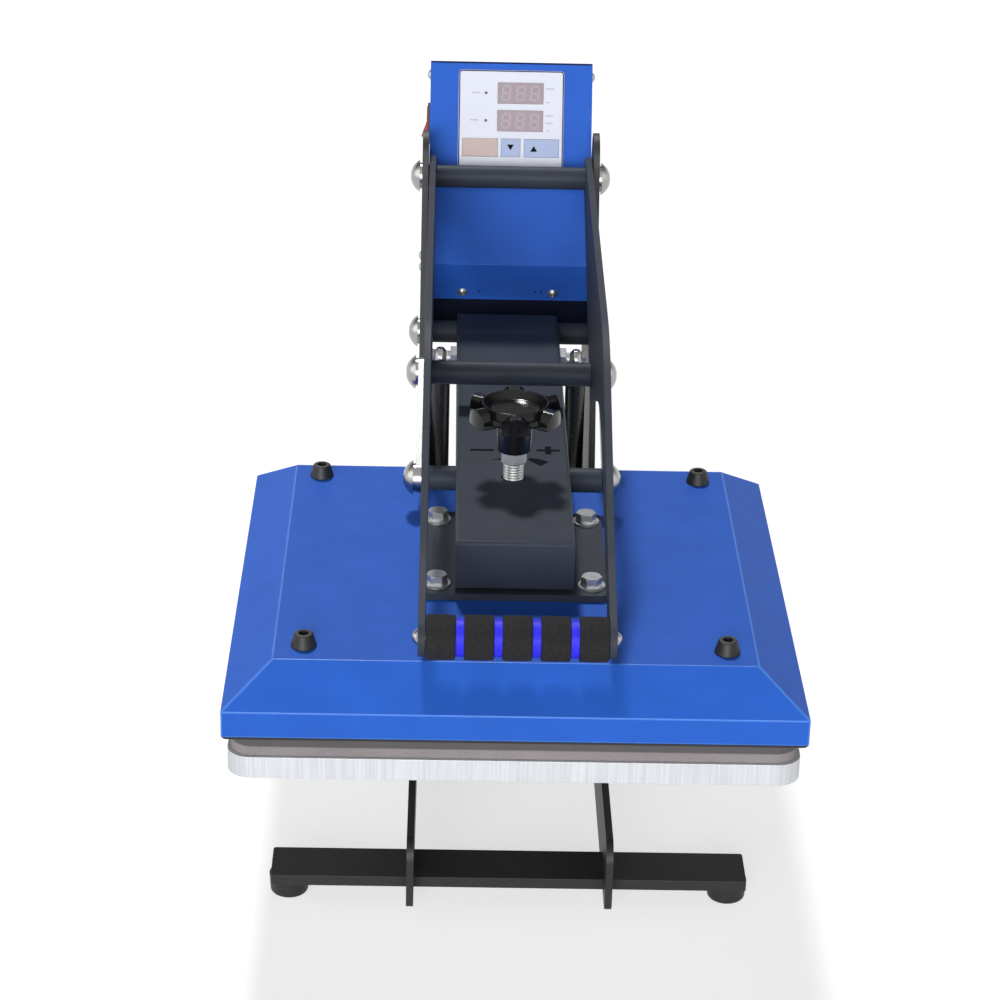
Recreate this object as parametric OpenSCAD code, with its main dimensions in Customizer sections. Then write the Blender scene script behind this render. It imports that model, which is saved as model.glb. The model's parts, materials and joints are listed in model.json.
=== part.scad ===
// Clamshell flat heat press, closed, standing on four rubber feet.
// X runs across, Y runs from the handle to the control box, Z is up.
// Lengths are in millimetres. Positions along Y are first measured from the
// middle of the platens; place() then moves the part over its own origin.

/* [Platens] */
// Side of the square lower platen
platen_size = 380; // [350:1:410]
// Thickness of the lower platen
platen_t = 15.5; // [12:0.5:22]
// Plan radius of the platens' corners
platen_corner_r = 16; // [6:1:30]
// Height of the lower platen's underside above the ground
platen_base_h = 132.5; // [125:0.5:150]
// Thickness of the silicone pad
pad_t = 7; // [4:0.5:12]
// Step in from the lower platen's edge to the pad and the heat platen
platen_inset = 2; // [0.5:0.5:6]
// Thickness of the heat platen
heat_platen_t = 20; // [16:0.5:26]
// Diameter of the tubular heater sunk in the heat platen
heater_d = 8; // [6:0.5:10]
// Distance of the heater's outer legs from the middle
heater_outer_x = 120; // [100:1:140]
// Distance of the heater's inner legs from the middle
heater_inner_x = 30; // [24:1:36]
// Half length of the heater's straight legs
heater_leg = 110; // [90:1:120]
// Diameter of the heater's terminals
terminal_d = 5; // [4:0.5:7]
// Thickness of the insulation over the heat platen
insulation_t = 18; // [10:1:22]

/* [Cover] */
// How far the cover stands out past the lower platen
cover_overhang = 3; // [1:0.5:6]
// Sheet thickness of the cover
cover_t = 1.5; // [1:0.1:2.5]
// Height of the cover's upright lip
lip_h = 19; // [14:0.5:26]
// Height of the lip's lower edge above the pad
lip_gap = 9; // [5:0.5:12]
// Height of the sloping border
bevel_h = 23; // [18:0.5:30]
// Width of the sloping border in plan
bevel_w = 31.8; // [24:0.1:40]
// Distance of the rubber bumpers from the middle, both ways
bumper_xy = 141; // [125:1:145]
// Base diameter of a bumper
bumper_d = 18; // [14:0.5:22]
// Top diameter of a bumper
bumper_top_d = 12.5; // [10:0.5:14]
// Height of a bumper
bumper_h = 9.5; // [6:0.5:14]
// Diameter of the recess in a bumper
bumper_recess_d = 7; // [5:0.5:8]
// Bore of the grommet for the heater lead
grommet_bore_d = 6; // [4:0.5:7]

/* [Press arm] */
// Outside width of the arm
arm_w = 82; // [76:0.5:88]
// Outside height of the arm
arm_h = 35; // [33:0.5:42]
// Sheet thickness of the arm
arm_t = 3; // [2:0.5:4]
// Outer bend radius of the arm's folded edges
arm_bend_r = 3; // [3:0.5:8]
// Distance of the arm's front face ahead of the middle
arm_front = 66; // [60:1:72]
// Length of the arm behind its hinge
arm_tail = 13; // [12:0.5:20]
// Gap between the arm and the mounting plate, the travel of the pressure screw
arm_gap = 3; // [2:0.5:5]
// Width of the mounting plate
plate_w = 130; // [124:1:134]
// Depth of the mounting plate
plate_d = 137; // [128:1:146]
// Thickness of the mounting plate
plate_t = 5; // [4:0.5:8]
// Distance between the mounting bolts, both ways
bolt_pitch = 107; // [102:1:112]
// Thread diameter of the mounting bolts
bolt_d = 8; // [6:0.5:10]
// Flange and washer diameter of the mounting bolts
bolt_washer_d = 19; // [17:0.5:22]
// Height of the guide block that runs inside the arm
block_h = 14; // [10:0.5:15]
// Depth of the guide block
block_d = 44; // [30:1:46]

/* [Pressure screw] */
// Distance of the screw behind the middle
screw_y = 46; // [44:1:48]
// Thread diameter of the screw
screw_d = 15; // [13:0.5:16]
// Thread pitch of the screw
screw_pitch = 2; // [1.5:0.25:3]
// Diameter of the screw's lower journal
journal_d = 11; // [8:0.5:12]
// Length of thread that shows over the arm
screw_show = 13; // [10:0.5:18]
// Distance across the flats of the lock nut
lock_nut_af = 18; // [17:0.5:24]
// Thickness of the lock nut
lock_nut_t = 8; // [6:0.5:10]
// Distance across the flats of the nut under the arm's top
pressure_nut_af = 24; // [20:0.5:28]
// Thickness of the nut under the arm's top
pressure_nut_t = 12; // [8:0.5:13]
// Outside diameter of the handwheel
wheel_d = 66; // [50:0.5:70]
// Height of the handwheel's lobes
wheel_h = 13; // [12:0.5:20]
// Diameter of the handwheel's hub
hub_d = 26; // [24:0.5:30]
// Height of the handwheel's hub below its lobes
hub_h = 24; // [10:0.5:28]
// Number of lobes round the handwheel
wheel_lobes = 6; // [3:1:8]

/* [Linkage] */
// Diameter of the cross rods
rod_d = 18; // [16:0.5:20]
// Distance of the arm's hinge behind the middle
hinge_y = 374; // [366:1:384]
// Outside diameter of the hinge tube in the arm
hinge_tube_d = 23; // [22:0.5:25]
// Distance of the lever's pivot behind the middle
pivot_y = 392; // [384:1:398]
// Height of the lever's pivot over the arm's top
pivot_rise = 112; // [105:1:125]
// Distance of the toggle rod behind the middle
toggle_y = 83; // [81:1:90]
// Height of the toggle rod over the arm's lower edge
toggle_rise = 17; // [14:0.5:20]
// Length of the toggle links between their pins
link_len = 110; // [100:1:120]
// Half width of a toggle link
link_r = 11; // [9:0.5:14]
// Thickness of a toggle link
link_t = 4; // [3:0.5:6]
// Thread diameter of the round-headed pivot bolts
pin_d = 10; // [8:0.5:11]
// Head diameter of the pivot bolts
pin_head_d = 26; // [20:0.5:28]
// Head height of the pivot bolts
pin_head_h = 7.5; // [5:0.5:10]
// Thickness of the washers under the pivot bolts' heads
head_washer_t = 2; // [1:0.1:3]
// Thickness of the washers beside the lever plates
washer_t = 1; // [0.8:0.1:2]

/* [Lever] */
// Clear width between the lever plates, the length of the grip
lever_gap_w = 120; // [116:1:128]
// Thickness of a lever plate
lever_t = 5; // [4:0.5:6]
// Radius of a lever plate round its pivot
lever_pivot_r = 16.5; // [15:0.5:18]
// Radius of a lever plate round its knee
lever_knee_r = 20; // [17:0.5:22]
// Radius of a lever plate's end at the grip
lever_end_r = 13; // [11:0.5:16]
// Distance of the grip ahead of the middle
grip_front = 171; // [165:1:178]
// Height of the grip over the cover
grip_rise = 23; // [20:0.5:30]
// Diameter of the foam on the grip
grip_d = 30; // [27:0.5:34]
// Diameter of the coloured rings on the grip
ring_d = 25.5; // [22:0.5:26]
// Width of a coloured ring
ring_w = 5.8; // [5:0.2:8]
// Number of foam segments on the grip
grip_segments = 5; // [3:1:6]
// Diameter of the grip's core
core_d = 16; // [12:0.5:18]

/* [Base] */
// Thickness of a side plate
side_t = 5; // [4:0.5:8]
// Height of the low rails
rail_h = 51; // [44:0.5:54]
// Depth of metal under the crossbars
rail_below = 8; // [6:0.5:10]
// Distance of the rails' front ends ahead of the middle
rail_front = 148; // [140:1:156]
// Distance of the side plates' rear edge behind the middle
side_rear = 472; // [464:1:484]
// Distance from the middle to the front of the bed arms
bed_front = 124; // [118:1:132]
// Depth of the bed arms at their front
bed_arm_h = 22; // [16:1:28]
// Thickness of the bed bars under the lower platen
bed_bar_t = 8; // [6:0.5:12]
// Depth of a bed bar
bed_bar_d = 36; // [30:1:44]
// Distance of the bed bars from the middle
bed_bar_y = 100; // [94:1:104]
// Length of the crossbars
bar_len = 330; // [310:1:350]
// Depth of a crossbar
bar_d = 38; // [34:0.5:42]
// Thickness of a crossbar
bar_t = 8; // [6:0.5:10]
// Distance of the front crossbar ahead of the middle
bar_front_y = 112; // [108:1:116]
// Distance of the rear crossbar behind the middle
bar_rear_y = 426; // [420:1:432]
// Height of the rubber feet
foot_h = 15; // [14:0.5:20]
// Diameter of the rubber feet
foot_d = 28; // [22:0.5:32]
// Distance of the feet from the middle, across
foot_x = 153; // [138:1:154]

/* [Gas struts] */
// Distance of the struts from the middle, across
strut_x = 54; // [53:0.5:55]
// Outside diameter of a strut
strut_d = 16; // [14:0.5:16]
// Diameter of a strut's rod
strut_rod_d = 8; // [6:0.5:9]
// Length of a strut's cylinder
strut_len = 140; // [128:1:146]
// Distance of the struts' upper ends ahead of the hinge
strut_ahead = 67; // [60:1:72]
// Distance of the struts' lower ends behind the middle
strut_foot_y = 296; // [288:1:304]
// Height of the struts' lower ends above the ground
strut_foot_h = 71; // [64:1:78]

/* [Control box] */
// Angle at which the box's front leans back
box_lean = 24; // [18:1:28]
// Distance of the box's front behind the lever's pivot
box_behind = 23; // [22:0.5:30]
// Reach of the box's front above the pivot
box_up = 96; // [92:0.5:108]
// Reach of the box's front below the pivot
box_down = 69; // [62:0.5:72]
// Depth of the box at its top
box_d = 55; // [50:1:70]
// Height of the sloping part under the front
box_slope_h = 26; // [20:0.5:28]
// Depth of the sloping part under the front
box_slope_d = 31; // [26:0.5:36]
// Height of the upright part under the slope
box_skirt = 32; // [26:0.5:36]
// Sheet thickness of the box
box_t = 1.2; // [1:0.1:2]
// Width of the control panel
panel_w = 85.6; // [84:0.2:95]
// Height of the control panel
panel_h = 87; // [82:0.5:90]
// Thickness of the control panel
panel_t = 1.5; // [1:0.1:2.5]
// Drop from the box's top edge to the control panel
panel_drop = 6.8; // [5:0.2:9]
// Width of a display window
window_w = 36.9; // [30:0.1:38]
// Height of a display window
window_h = 16.9; // [14:0.1:18]
// Height of the keys
key_h = 14.6; // [10:0.2:16]
// Travel of the keys
key_travel = 0.8; // [0.3:0.1:1.2]
// Bore of the gland for the mains lead
gland_bore_d = 8; // [6:0.5:9]
// Length of the gland outside the box
gland_len = 14; // [10:0.5:20]

/* [Fits] */
// Radial clearance of a running fit
run_clear = 0.05; // [0.02:0.01:0.1]
// Clearance round a fixed fit
fit_clear = 0.2; // [0.1:0.05:0.3]
// Air left between moving faces
air = 0.3; // [0.2:0.05:0.5]

/* [Hidden] */
$fn = 48;
arc_steps = 8;
graze = 0.1;

// Levels, from the ground up
rail_z = foot_h - rail_below;
rail_top = rail_z + rail_h;
bed_z = platen_base_h - bed_bar_t;
platen_top = platen_base_h + platen_t;
pad_top = platen_top + pad_t;
heat_z = pad_top + air;
heat_top = heat_z + heat_platen_t;
lip_z = pad_top + lip_gap;
shoulder_z = lip_z + lip_h;
cover_top = shoulder_z + bevel_h;
plate_top = cover_top + plate_t;
arm_z = plate_top + arm_gap + air;
arm_top = arm_z + arm_h;

// Widths, from the middle outwards
cover_size = platen_size + 2 * cover_overhang;
top_size = platen_size - 2 * platen_inset;
arm_half = arm_w / 2;
lever_in = lever_gap_w / 2;
lever_out = lever_in + lever_t;
side_in = lever_out + washer_t;
side_out = side_in + side_t;
link_in = lever_out + washer_t + air / 3;
link_out = link_in + link_t;
box_half = side_in - fit_clear;

// Pivots as [y, z]
hinge = [hinge_y, arm_top - arm_t - hinge_tube_d / 2 - fit_clear];
pivot = [pivot_y, arm_top + pivot_rise];
toggle = [toggle_y, arm_z + toggle_rise];
knee = toggle + link_len * unit(pivot - toggle);
grip = [-grip_front, cover_top + grip_rise];
strut_lift = 4;
strut_top = [hinge_y - strut_ahead, hinge[1] + strut_lift];
strut_foot = [strut_foot_y, strut_foot_h];
strut_reach = norm(strut_top - strut_foot);
strut_lean = atan2(strut_top[0] - strut_foot[0], strut_top[1] - strut_foot[1]);
rod_bolt_depth = 26;
head_washer_step = 5;
pin_socket_af = 7;

// Control box, measured on its leaning front: y into the box, z up the front from the pivot
box_bend = box_at(0, -box_down);
box_low = box_at(box_slope_d, -box_down - box_slope_h);
box_front_top = box_at(0, box_up);
box_rear_top = box_at(box_d, box_up);
box_rear = box_rear_top[0];
box_z = box_low[1] - box_skirt;
slope_angle = atan2(box_low[0] - box_bend[0], box_bend[1] - box_low[1]);
panel_top = box_up - panel_drop;
panel_z = panel_top - panel_h;

// Origin: on the ground, in the middle of the part's box
front_y = -cover_size / 2;
rear_y = box_rear + box_t + gland_len;
origin_y = -(front_y + rear_y) / 2;

// Control panel layout as [middle x, drop below the panel's top, width]
window_x = 7.5;
window_drops = [18.6, 41];
led_x = -20.5;
led_d = 2;
set_key_at = [-24.9, 63, 28.5];
down_key_at = [0.1, 63, 15.5];
up_key_at = [25.1, 63, 28.2];
key_proud = 0.5;
key_flange = 0.6;
key_flange_t = 1;
cutout_w = 82;
cutout_margin = 6;
board_y = 8;
board_t = 1.6;
board_w = cutout_w + 12;

// Rocker switch on the box's left wall, measured round its middle
switch_y = 22;
switch_z = 47.7;
switch_h = 32;
switch_w = 15;
rocker_h = 25;
rocker_w = 10;
rocker_tilt = 10;
rocker_pin_d = 3;
rocker_room = 2.2;
rocker_pin_len = rocker_w + 2.4;
switch_rim = 1.3;
switch_rim_t = 2;
switch_depth = 17;
switch_well = 12;
switch_cut_w = switch_w - 2 * switch_rim + 2 * fit_clear;
switch_cut_h = switch_h - 2 * switch_rim + 2 * fit_clear;

// Screws that hold the control box, as [y, z] on the side plates
box_side_screws = [pivot + [45, -83.5], pivot + [57, -98]];
top_screw_at = box_at(9, box_up - 10);
small_screw_d = 4;
small_head_d = 8.5;
small_head_h = 2.6;
recess_len = 4.4;
recess_w = 0.9;
recess_depth = 1.3;
slope_screw_x = 37;
slope_screw_share = 0.8;
screw_depth = 9;

// Geometry helpers

function unit(v) = v / norm(v);

function turn(v, a) = [v[0] * cos(a) - v[1] * sin(a), v[0] * sin(a) + v[1] * cos(a)];

// Point of the control box from its place on the leaning front
function box_at(y, z) = pivot + turn([y + box_behind, z], -box_lean);

// Point where a line from e grazes the circle round c, just inside it, on side s
function tangent(e, c, r, s) =
    let (d = e - c, inner = r - graze, a = atan2(d[1], d[0]) + s * acos(inner / norm(d)))
    c + inner * [cos(a), sin(a)];

// Arc that rounds the corner p between its neighbours a and b
function corner(a, p, b, r) =
    let (
        u = unit(a - p),
        v = unit(b - p),
        half = acos(u * v) / 2,
        centre = p + unit(u + v) * r / sin(half),
        start = p + u * r / tan(half) - centre,
        sweep = sign(u[1] * v[0] - u[0] * v[1]) * (180 - 2 * half)
    )
    [for (i = [0:arc_steps]) centre + turn(start, sweep * i / arc_steps)];

function flat(p) = [p[0], p[1]];

// Outline through points [x, y, radius]
function rounded(pts) =
    let (n = len(pts))
    [for (i = [0:n - 1])
        each pts[i][2] > 0
            ? corner(flat(pts[(i + n - 1) % n]), flat(pts[i]), flat(pts[(i + 1) % n]), pts[i][2])
            : [flat(pts[i])]];

function with_radius(p, r) = [p[0], p[1], r];

// Outline moved inwards by t on every side
function inner_corner(a, p, b, t) =
    let (m = turn(unit(p - a), 90), n = turn(unit(b - p), 90))
    p + t * (m + n) / (1 + m * n);

function shrunk(pts, t) =
    let (n = len(pts))
    [for (i = [0:n - 1]) inner_corner(pts[(i + n - 1) % n], pts[i], pts[(i + 1) % n], t)];

// Moves the part from the platens' middle to its origin
module place() translate([0, origin_y, 0]) children();

// Draws its children on the right and again on the left
module pair() {
    children();
    mirror([1, 0, 0]) children();
}

// Repeats its children at the four corners of a square
module corners(x, y) for (sx = [-1, 1], sy = [-1, 1]) translate([sx * x, sy * y, 0]) children();

// Plate across X from an outline in Y and Z
module upright(x, t) translate([x, 0, 0]) rotate([90, 0, 90]) linear_extrude(t) children();

// Cylinder along X at p, from x0 to x1
module along_x(p, d, x0, x1) translate([x0, p[0], p[1]]) rotate([0, 90, 0]) cylinder(d = d, h = x1 - x0);

// Cylinder along Y from y0 to y1
module along_y(x, z, d, y0, y1) translate([x, y0, z]) rotate([-90, 0, 0]) cylinder(d = d, h = y1 - y0);

module rounded_rect(w, d, r) {
    square([w - 2 * r, d], center = true);
    square([w, d - 2 * r], center = true);
    for (sx = [-1, 1], sy = [-1, 1]) translate([sx * (w / 2 - r), sy * (d / 2 - r)]) circle(r);
}

module hexagon(af) circle(d = af / cos(30), $fn = 6);

module ring(outer, inner, h) difference() {
    cylinder(d = outer, h = h);
    translate([0, 0, -1]) cylinder(d = inner, h = h + 2);
}

// Domed bolt head standing on z = 0
module dome(d, h) {
    ball = (d * d / 4 + h * h) / (2 * h);
    intersection() {
        translate([0, 0, h - ball]) sphere(ball);
        cylinder(d = d, h = h);
    }
}

// Domed head with a six-sided socket
module socket_head(d, h, af) difference() {
    dome(d, h);
    translate([0, 0, h / 2]) linear_extrude(h) hexagon(af);
}

// Dome-headed bolt with a washer: the washer lies on the face at x, the shank goes inwards
module pin_bolt(p, x, depth) {
    along_x(p, pin_head_d - head_washer_step, x, x + head_washer_t);
    translate([x + head_washer_t, p[0], p[1]]) rotate([0, 90, 0])
        socket_head(pin_head_d, pin_head_h, pin_socket_af);
    along_x(p, pin_d, x - depth, x + head_washer_t + 1);
}

// Cross rod between two faces at -x and x, bored at both ends for the pivot bolts
module cross_rod(p, x) difference() {
    along_x(p, rod_d, -x, x);
    pair() along_x(p, pin_d + 2 * fit_clear, x - rod_bolt_depth, x + 1);
}

// Small cross-recessed screw: head on z = 0, shank downwards
module small_screw(depth) difference() {
    union() {
        dome(small_head_d, small_head_h);
        translate([0, 0, -depth]) cylinder(d = small_screw_d, h = depth + 0.5);
    }
    for (a = [0, 90]) rotate(a)
        translate([-recess_len / 2, -recess_w / 2, small_head_h - recess_depth])
            cube([recess_len, recess_w, recess_depth + 1]);
}

// Base

side_tip_r = lever_pivot_r + 3.5;
side_tip = pivot + [8, 15];

module side_outline() {
    shoulder = [hinge[0] - 56, hinge[1] - 6];
    rear = [side_rear, hinge[1] + 9];
    web_y = -40;
    polygon(rounded([
        [-rail_front, rail_z, 6],
        [side_rear, rail_z, 12],
        with_radius(rear, 15),
        with_radius(tangent(rear, side_tip, side_tip_r, 1), 0),
        with_radius(tangent(shoulder, side_tip, side_tip_r, -1), 0),
        with_radius(shoulder, 30),
        [platen_size / 2 + 74, bed_z, 20],
        [-bed_front, bed_z, 3],
        [-bed_front, bed_z - bed_arm_h, 8],
        [web_y, rail_top + 16, 8],
        [web_y, rail_top, 7],
        [-rail_front, rail_top, 14]
    ]));
    translate(side_tip) circle(side_tip_r);
}

module bar_slot(y) translate([y, foot_h + bar_t / 2])
    square([bar_d + 2 * fit_clear, bar_t + 2 * fit_clear], center = true);

module base_side() color("#26282b") upright(side_in, side_t) difference() {
    side_outline();
    bar_slot(-bar_front_y);
    bar_slot(bar_rear_y);
    for (p = [pivot, hinge]) translate(p) circle(d = pin_d + 2 * fit_clear);
    translate(strut_foot) circle(d = strut_rod_d + 2 * fit_clear);
    for (p = box_side_screws) translate(p) circle(d = small_screw_d + 2 * fit_clear);
}

module base_side_right() place() base_side();

module base_side_left() place() mirror([1, 0, 0]) base_side();

bar_corner_r = 2;
foot_screw_depth = bar_t - 2;
foot_screw_d = 5;
foot_head_d = 9.5;
foot_head_h = 3;

module crossbar(y) color("#1d1e20") translate([0, y, foot_h]) difference() {
    linear_extrude(bar_t) rounded_rect(bar_len, bar_d, bar_corner_r);
    pair() translate([foot_x, 0, -1]) cylinder(d = foot_screw_d + 2 * fit_clear, h = foot_screw_depth + 1);
}

module front_crossbar() place() crossbar(-bar_front_y);

module rear_crossbar() place() crossbar(bar_rear_y);

module at_feet() pair() for (y = [-bar_front_y, bar_rear_y]) translate([foot_x, y, 0]) children();

foot_seat = foot_h - 5;

module rubber_feet() place() color("#17181a") at_feet() difference() {
    rotate_extrude() polygon(rounded([
        [0, 0, 0], [foot_d / 2 - 1, 0, 3], [foot_d / 2, foot_h, 1], [0, foot_h, 0]
    ]));
    translate([0, 0, -1]) cylinder(d = foot_head_d + 1.5, h = foot_seat + 1);
    cylinder(d = foot_screw_d + 2 * fit_clear, h = foot_h + 1);
}

module foot_screws() place() color("silver") at_feet() translate([0, 0, foot_seat]) {
    translate([0, 0, -foot_head_h]) cylinder(d = foot_head_d, h = foot_head_h);
    translate([0, 0, -1])
        cylinder(d = foot_screw_d, h = foot_h - foot_seat + foot_screw_depth + 1 - fit_clear);
}

platen_screw_x = 85;
platen_screw_d = 6;
platen_screw_af = 10;
platen_screw_head_h = 4;

module at_platen_screws() corners(platen_screw_x, bed_bar_y) children();

module bed_bars() place() color("#26282b") difference() {
    for (s = [-1, 1]) translate([0, s * bed_bar_y, bed_z]) linear_extrude(bed_bar_t)
        rounded_rect(2 * platen_screw_x + 40, bed_bar_d, 5);
    translate([0, 0, bed_z - 1]) at_platen_screws()
        cylinder(d = platen_screw_d + 2 * fit_clear, h = bed_bar_t + 2);
}

module platen_screws() place() color("silver") translate([0, 0, bed_z]) at_platen_screws() {
    translate([0, 0, -platen_screw_head_h]) linear_extrude(platen_screw_head_h) hexagon(platen_screw_af);
    translate([0, 0, -1]) cylinder(d = platen_screw_d, h = bed_bar_t + platen_t / 2 + 1);
}

module lower_platen() place() color("#d9dbdd") difference() {
    translate([0, 0, platen_base_h]) linear_extrude(platen_t)
        rounded_rect(platen_size, platen_size, platen_corner_r);
    translate([0, 0, platen_base_h - 1]) at_platen_screws()
        cylinder(d = platen_screw_d + 2 * fit_clear, h = platen_t / 2 + 1 + fit_clear);
}

module silicone_pad() place() color("#8b8b8d") translate([0, 0, platen_top]) linear_extrude(pad_t)
    rounded_rect(top_size, top_size, platen_corner_r);

module lever_pivot_rod() place() color("#2b2f34") cross_rod(pivot, side_in);

module arm_hinge_rod() place() color("#2b2f34") cross_rod(hinge, side_in);

module frame_bolts() place() color("#c9cbce") pair() for (p = [pivot, hinge])
    pin_bolt(p, side_out, side_t + rod_bolt_depth - 1);

// Stud for a strut's lower eye: collar on the side plate, pin, and retaining head
strut_eye_w = 10;
strut_eye_d = 16;
stud_collar_d = 14;
stud_head_d = 13;
stud_head_t = 2;
stud_nut_d = 15;
stud_nut_t = 4;
strut_inner_x = strut_x - strut_eye_w / 2 - air;

module strut_base_studs() place() color("silver") pair() {
    along_x(strut_foot, strut_rod_d, strut_inner_x - 1, side_out + 1);
    along_x(strut_foot, stud_collar_d, strut_x + strut_eye_w / 2 + air, side_in);
    along_x(strut_foot, stud_head_d, strut_inner_x - stud_head_t, strut_inner_x);
    along_x(strut_foot, stud_nut_d, side_out, side_out + stud_nut_t);
}

// Control box

box_outline = [box_bend, box_low, [box_low[0], box_z], [box_rear, box_z], box_rear_top, box_front_top];

// Places children on the leaning front: y into the box, z up the front
module on_front() translate([0, pivot[0], pivot[1]]) rotate([-box_lean, 0, 0])
    translate([0, box_behind, 0]) children();

// Places children on the sloping face, z pointing out of the box
module on_slope(x) {
    p = box_bend + slope_screw_share * (box_low - box_bend);
    translate([x, p[0], p[1]]) rotate([90 + slope_angle, 0, 0]) children();
}

module at_side_screws() {
    for (p = box_side_screws) translate([side_out, p[0], p[1]]) rotate([0, 90, 0]) children();
    translate([box_half, top_screw_at[0], top_screw_at[1]]) rotate([0, 90, 0]) children();
}

back_screw_x = box_half - 9;

module at_back_screws() for (x = [-1, 1], z = [box_z + 9, box_rear_top[1] - 9])
    translate([x * back_screw_x, box_rear + box_t, z]) rotate([-90, 0, 0]) children();

module screw_hole() translate([0, 0, -screw_depth])
    cylinder(d = small_screw_d + 2 * fit_clear, h = screw_depth + 1);

module control_box() place() color("#1f55b5") difference() {
    inside = shrunk(box_outline, box_t);
    back = [box_t + 1, 0];
    upright(-box_half, 2 * box_half) polygon(box_outline);
    upright(-box_half + box_t, 2 * (box_half - box_t))
        polygon([
            inside[0], inside[1], inside[2],
            inside[3] + back, inside[4] + back,
            inside[4], inside[5]]);
    on_front() {
        translate([-cutout_w / 2, -1, panel_z + cutout_margin])
            cube([cutout_w, box_t + 2, panel_h - 2 * cutout_margin]);
        translate([-box_half, switch_y, switch_z])
            cube([4 * box_t, switch_cut_w, switch_cut_h], center = true);
    }
    pair() at_side_screws() screw_hole();
    pair() on_slope(slope_screw_x) screw_hole();
}

gland_z = box_z + 34;
gland_thread_d = 15;
gland_nut_af = 22;
gland_nut_t = 6;
gland_cap_d = 17;
gland_inside = 8;
gland_ring_af = 20;
gland_ring_t = 5;

module box_back_cover() place() color("#1f55b5") difference() {
    translate([-box_half, box_rear, box_z]) cube([2 * box_half, box_t, box_rear_top[1] - box_z]);
    at_back_screws() screw_hole();
    along_y(0, gland_z, gland_thread_d + 2 * fit_clear, box_rear - 1, box_rear + box_t + 1);
}

module box_screws() place() color("silver") {
    pair() at_side_screws() small_screw(screw_depth);
    pair() on_slope(slope_screw_x) small_screw(screw_depth);
    at_back_screws() small_screw(screw_depth);
}

// Opening or filling of the panel: middle x, drop below its top, size, and how far it grows
module panel_block(at, h, y, t, grow)
    translate([at[0] - at[2] / 2 - grow, y, panel_top - at[1] - h / 2 - grow])
    cube([at[2] + 2 * grow, t, h + 2 * grow]);

module control_panel() place() on_front() color("#eceef2") difference() {
    translate([0, 0, (panel_top + panel_z) / 2]) rotate([90, 0, 0]) linear_extrude(panel_t)
        rounded_rect(panel_w, panel_h, 3);
    for (drop = window_drops) {
        panel_block([window_x, drop, window_w], window_h, -panel_t - 1, panel_t + 2, fit_clear);
        along_y(led_x, panel_top - drop, led_d + 2 * fit_clear, -panel_t - 1, 1);
    }
    for (at = [set_key_at, down_key_at, up_key_at])
        panel_block(at, key_h, -panel_t - 1, panel_t + 2, fit_clear);
}

module display_windows() place() on_front() color("#b9a9b0") for (drop = window_drops)
    panel_block([window_x, drop, window_w], window_h, fit_clear - panel_t, panel_t, 0);

module status_leds() place() on_front() color("#a03030") for (drop = window_drops)
    along_y(led_x, panel_top - drop, led_d, fit_clear - panel_t, board_y);

// Circuit board behind the panel with display blocks, key switches and stand-offs
module controller_board() place() on_front() color("#1f6b3a") {
    translate([-board_w / 2, board_y, panel_z + 2]) cube([board_w, board_t, panel_h - 4]);
    for (drop = window_drops)
        panel_block([window_x, drop, window_w], window_h, 2 * fit_clear, board_y, -1);
    for (at = [set_key_at, down_key_at, up_key_at])
        along_y(at[0], panel_top - at[1], 6, key_flange_t + key_travel + 2 * air, board_y + 0.5);
    for (x = [-1, 1], z = [panel_z + 7, panel_top - 7])
        along_y(x * (cutout_w / 2 + 3), z, 5, box_t, board_y + 0.5);
}

relay_foot = [45, 36, 6];
relay_body = [41, 32, 24];
relay_at = [-18, box_rear - 32];

// Relay on the box's floor: a mounting foot and a body
module power_relay() place() color("#3a3d42") translate([relay_at[0], relay_at[1], box_z + box_t]) {
    translate([-relay_foot[0] / 2, -relay_foot[1] / 2, 0]) cube(relay_foot);
    translate([-relay_body[0] / 2, -relay_body[1] / 2, relay_foot[2] - 1]) cube(relay_body);
}

module cord_gland() place() color("#202225") difference() {
    union() {
        translate([0, box_rear + box_t, gland_z]) rotate([-90, 0, 0])
            linear_extrude(gland_nut_t) hexagon(gland_nut_af);
        along_y(0, gland_z, gland_cap_d, box_rear + box_t + gland_nut_t - 1, rear_y);
        along_y(0, gland_z, gland_thread_d, box_rear - gland_inside, box_rear + box_t + 1);
        translate([0, box_rear - gland_ring_t, gland_z]) rotate([-90, 0, 0])
            linear_extrude(gland_ring_t) hexagon(gland_ring_af);
    }
    along_y(0, gland_z, gland_bore_d, box_rear - gland_inside - 1, rear_y + 1);
}

// Key cap in the panel, with a flange behind it
module key(at) {
    panel_block(at, key_h, -panel_t - key_proud, panel_t + key_proud + air, 0);
    panel_block(at, key_h, air, key_flange_t, key_flange);
}

module set_key() place() on_front() color("#e8c7b4") key(set_key_at);

module down_key() place() on_front() color("#b9cbe8") key(down_key_at);

module up_key() place() on_front() color("#b9cbe8") key(up_key_at);

// Switch frame outside the wall and its hollow body inside
module switch_housing() place() on_front() color("#151617")
    translate([-box_half, switch_y, switch_z]) difference() {
        union() {
            translate([-switch_rim_t / 2, 0, 0]) cube([switch_rim_t, switch_w, switch_h], center = true);
            translate([-1, -switch_w / 2, -switch_h / 2] + switch_rim * [0, 1, 1])
                cube([switch_depth + 1, switch_w - 2 * switch_rim, switch_h - 2 * switch_rim]);
        }
        translate([-switch_rim_t - 1, -rocker_w / 2 - air, -(rocker_h + rocker_room) / 2])
            cube([switch_rim_t + 1 + switch_well, rocker_w + 2 * air, rocker_h + rocker_room]);
        translate([rocker_pin_d, 0, 0]) rotate([90, 0, 0])
            cylinder(d = rocker_pin_d + 2 * run_clear, h = rocker_pin_len + 2 * air, center = true);
    }

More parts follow.
